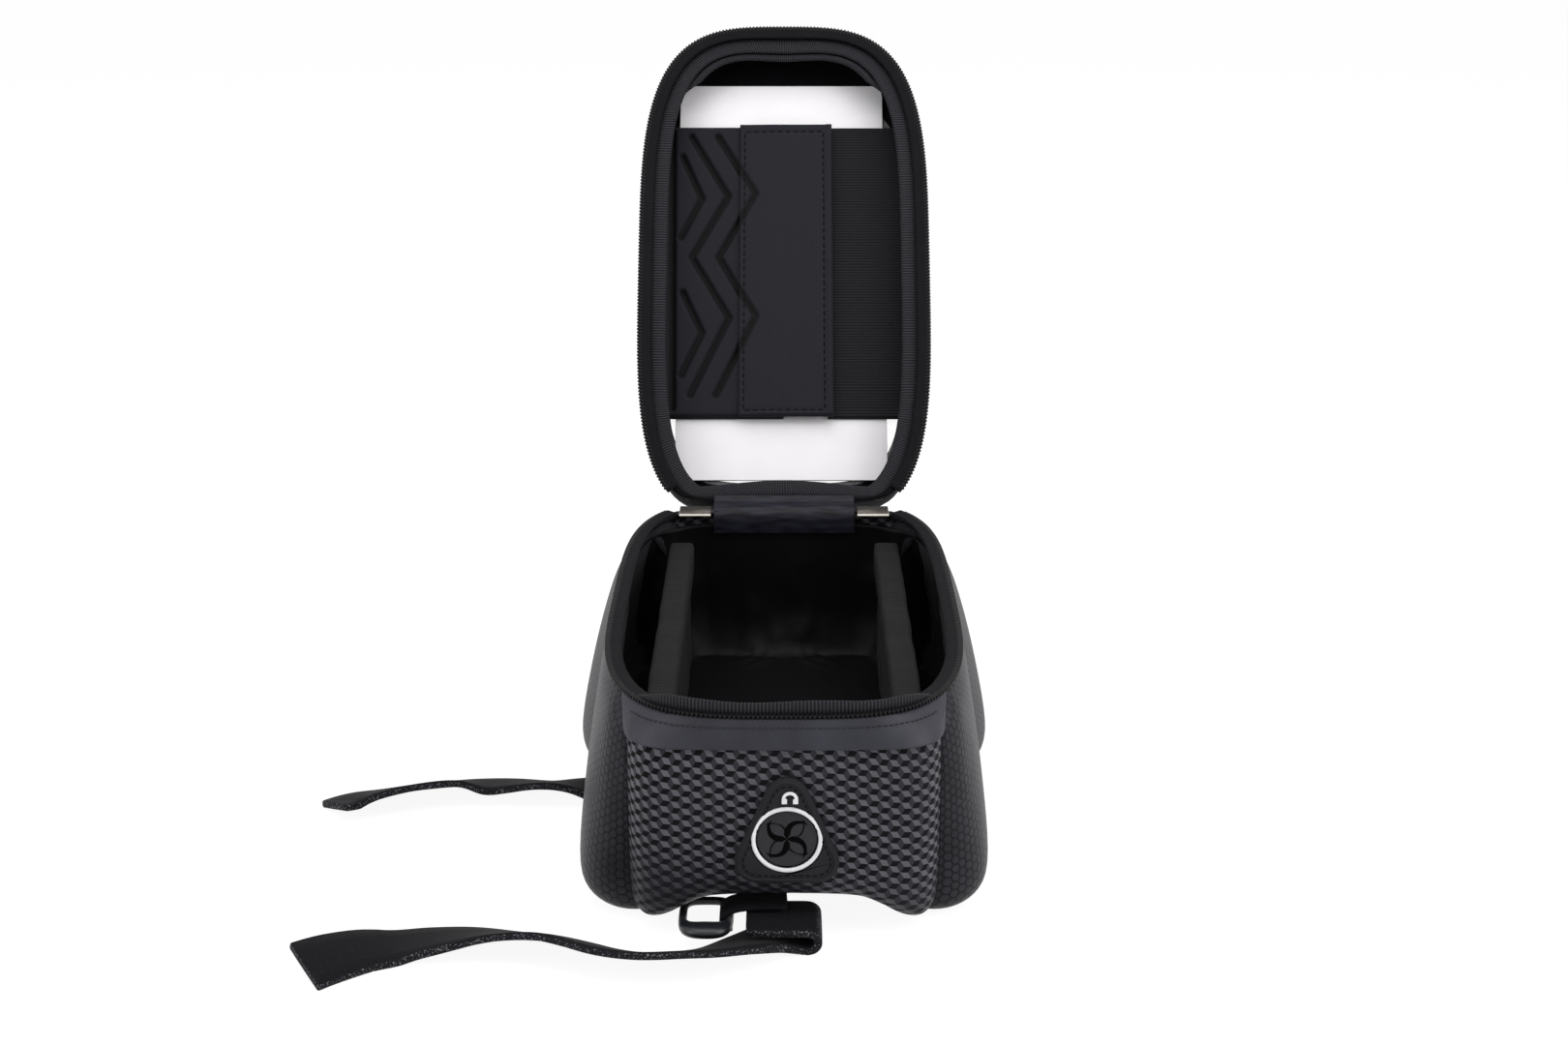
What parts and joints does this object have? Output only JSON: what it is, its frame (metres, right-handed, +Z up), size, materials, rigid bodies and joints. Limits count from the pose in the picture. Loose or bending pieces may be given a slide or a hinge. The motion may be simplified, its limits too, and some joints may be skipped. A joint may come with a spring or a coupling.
{
  "type": "top tube phone bag",
  "caption": "Moulded bag that straps on a bicycle's top tube, with a hinged lid, a clear phone window and a cable port.",
  "frame": {"origin": "middle of the flat seat under the base, where the bag rests on the top tube", "axes": "+Z up, -Y towards the rider, +X to the rider's right; the lid's hinge is at the +Y end"},
  "size_m": [0.2117, 0.3377, 0.2219],
  "materials": {
    "cube_skin": "coated, cube pattern",
    "hex_skin": "coated, hexagon pattern",
    "smooth_skin": "smooth satin coating",
    "lid_skin": "smooth satin coating",
    "nylon": "plain woven nylon",
    "felt": "brushed felt",
    "grosgrain": "ribbed tape",
    "zip_tape": "woven zip tape",
    "zip_coil": "moulded coil",
    "satin": "satin",
    "rubber": "matt",
    "white_rubber": "matt",
    "slider_metal": "plated",
    "clear_film": "clear film",
    "card": "plain white",
    "foam_fabric": "embossed, padded",
    "elastic": "ribbed elastic",
    "webbing": "hook-and-loop webbing",
    "ring_plastic": "satin moulding"
  },
  "bodies": {
    "body": {"near_panel": "cube_skin", "far_panel": "cube_skin", "left_side_panel": "hex_skin", "right_side_panel": "hex_skin", "base_panel": "hex_skin", "near_rim_band": "smooth_skin", "lining": "nylon", "rim_binding": "grosgrain", "left_divider": "felt", "right_divider": "felt", "left_divider_binding": "grosgrain", "right_divider_binding": "grosgrain", "body_zip_tape": "zip_tape", "body_zip_coil": "zip_coil", "hinge_fabric": "satin", "left_slider": "slider_metal", "right_slider": "slider_metal", "port_patch": "rubber", "port_ring": "white_rubber", "port_membrane": "rubber", "port_symbol": "white_rubber", "near_strap": "webbing", "far_strap": "webbing", "strap_ring": "ring_plastic", "ring_loop": "webbing"},
    "lid": {"lid_shell": "lid_skin", "window_film": "clear_film", "lid_binding": "grosgrain", "lid_zip_tape": "zip_tape", "lid_zip_coil": "zip_coil", "phone_card": "card", "phone_strap_wing": "foam_fabric", "phone_strap_flap": "foam_fabric", "phone_strap_elastic": "elastic"},
    "left_pull": {"left_pull_tab": "slider_metal"},
    "right_pull": {"right_pull_tab": "slider_metal"}
  },
  "joints": [
    {"name": "lid_hinge", "type": "hinge", "parent": "body", "child": "lid", "pos_m": [0, 0.095, 0.0562], "axis": [1, 0, 0], "range_deg": [0, 125]},
    {"name": "left_pull_swing", "type": "hinge", "parent": "body", "child": "left_pull", "pos_m": [-0.0308, 0.09645, 0.0535], "axis": [1, 0, 0], "range_deg": [0, 40]},
    {"name": "right_pull_swing", "type": "hinge", "parent": "body", "child": "right_pull", "pos_m": [0.0308, 0.09645, 0.0535], "axis": [1, 0, 0], "range_deg": [0, 40]}
  ]
}
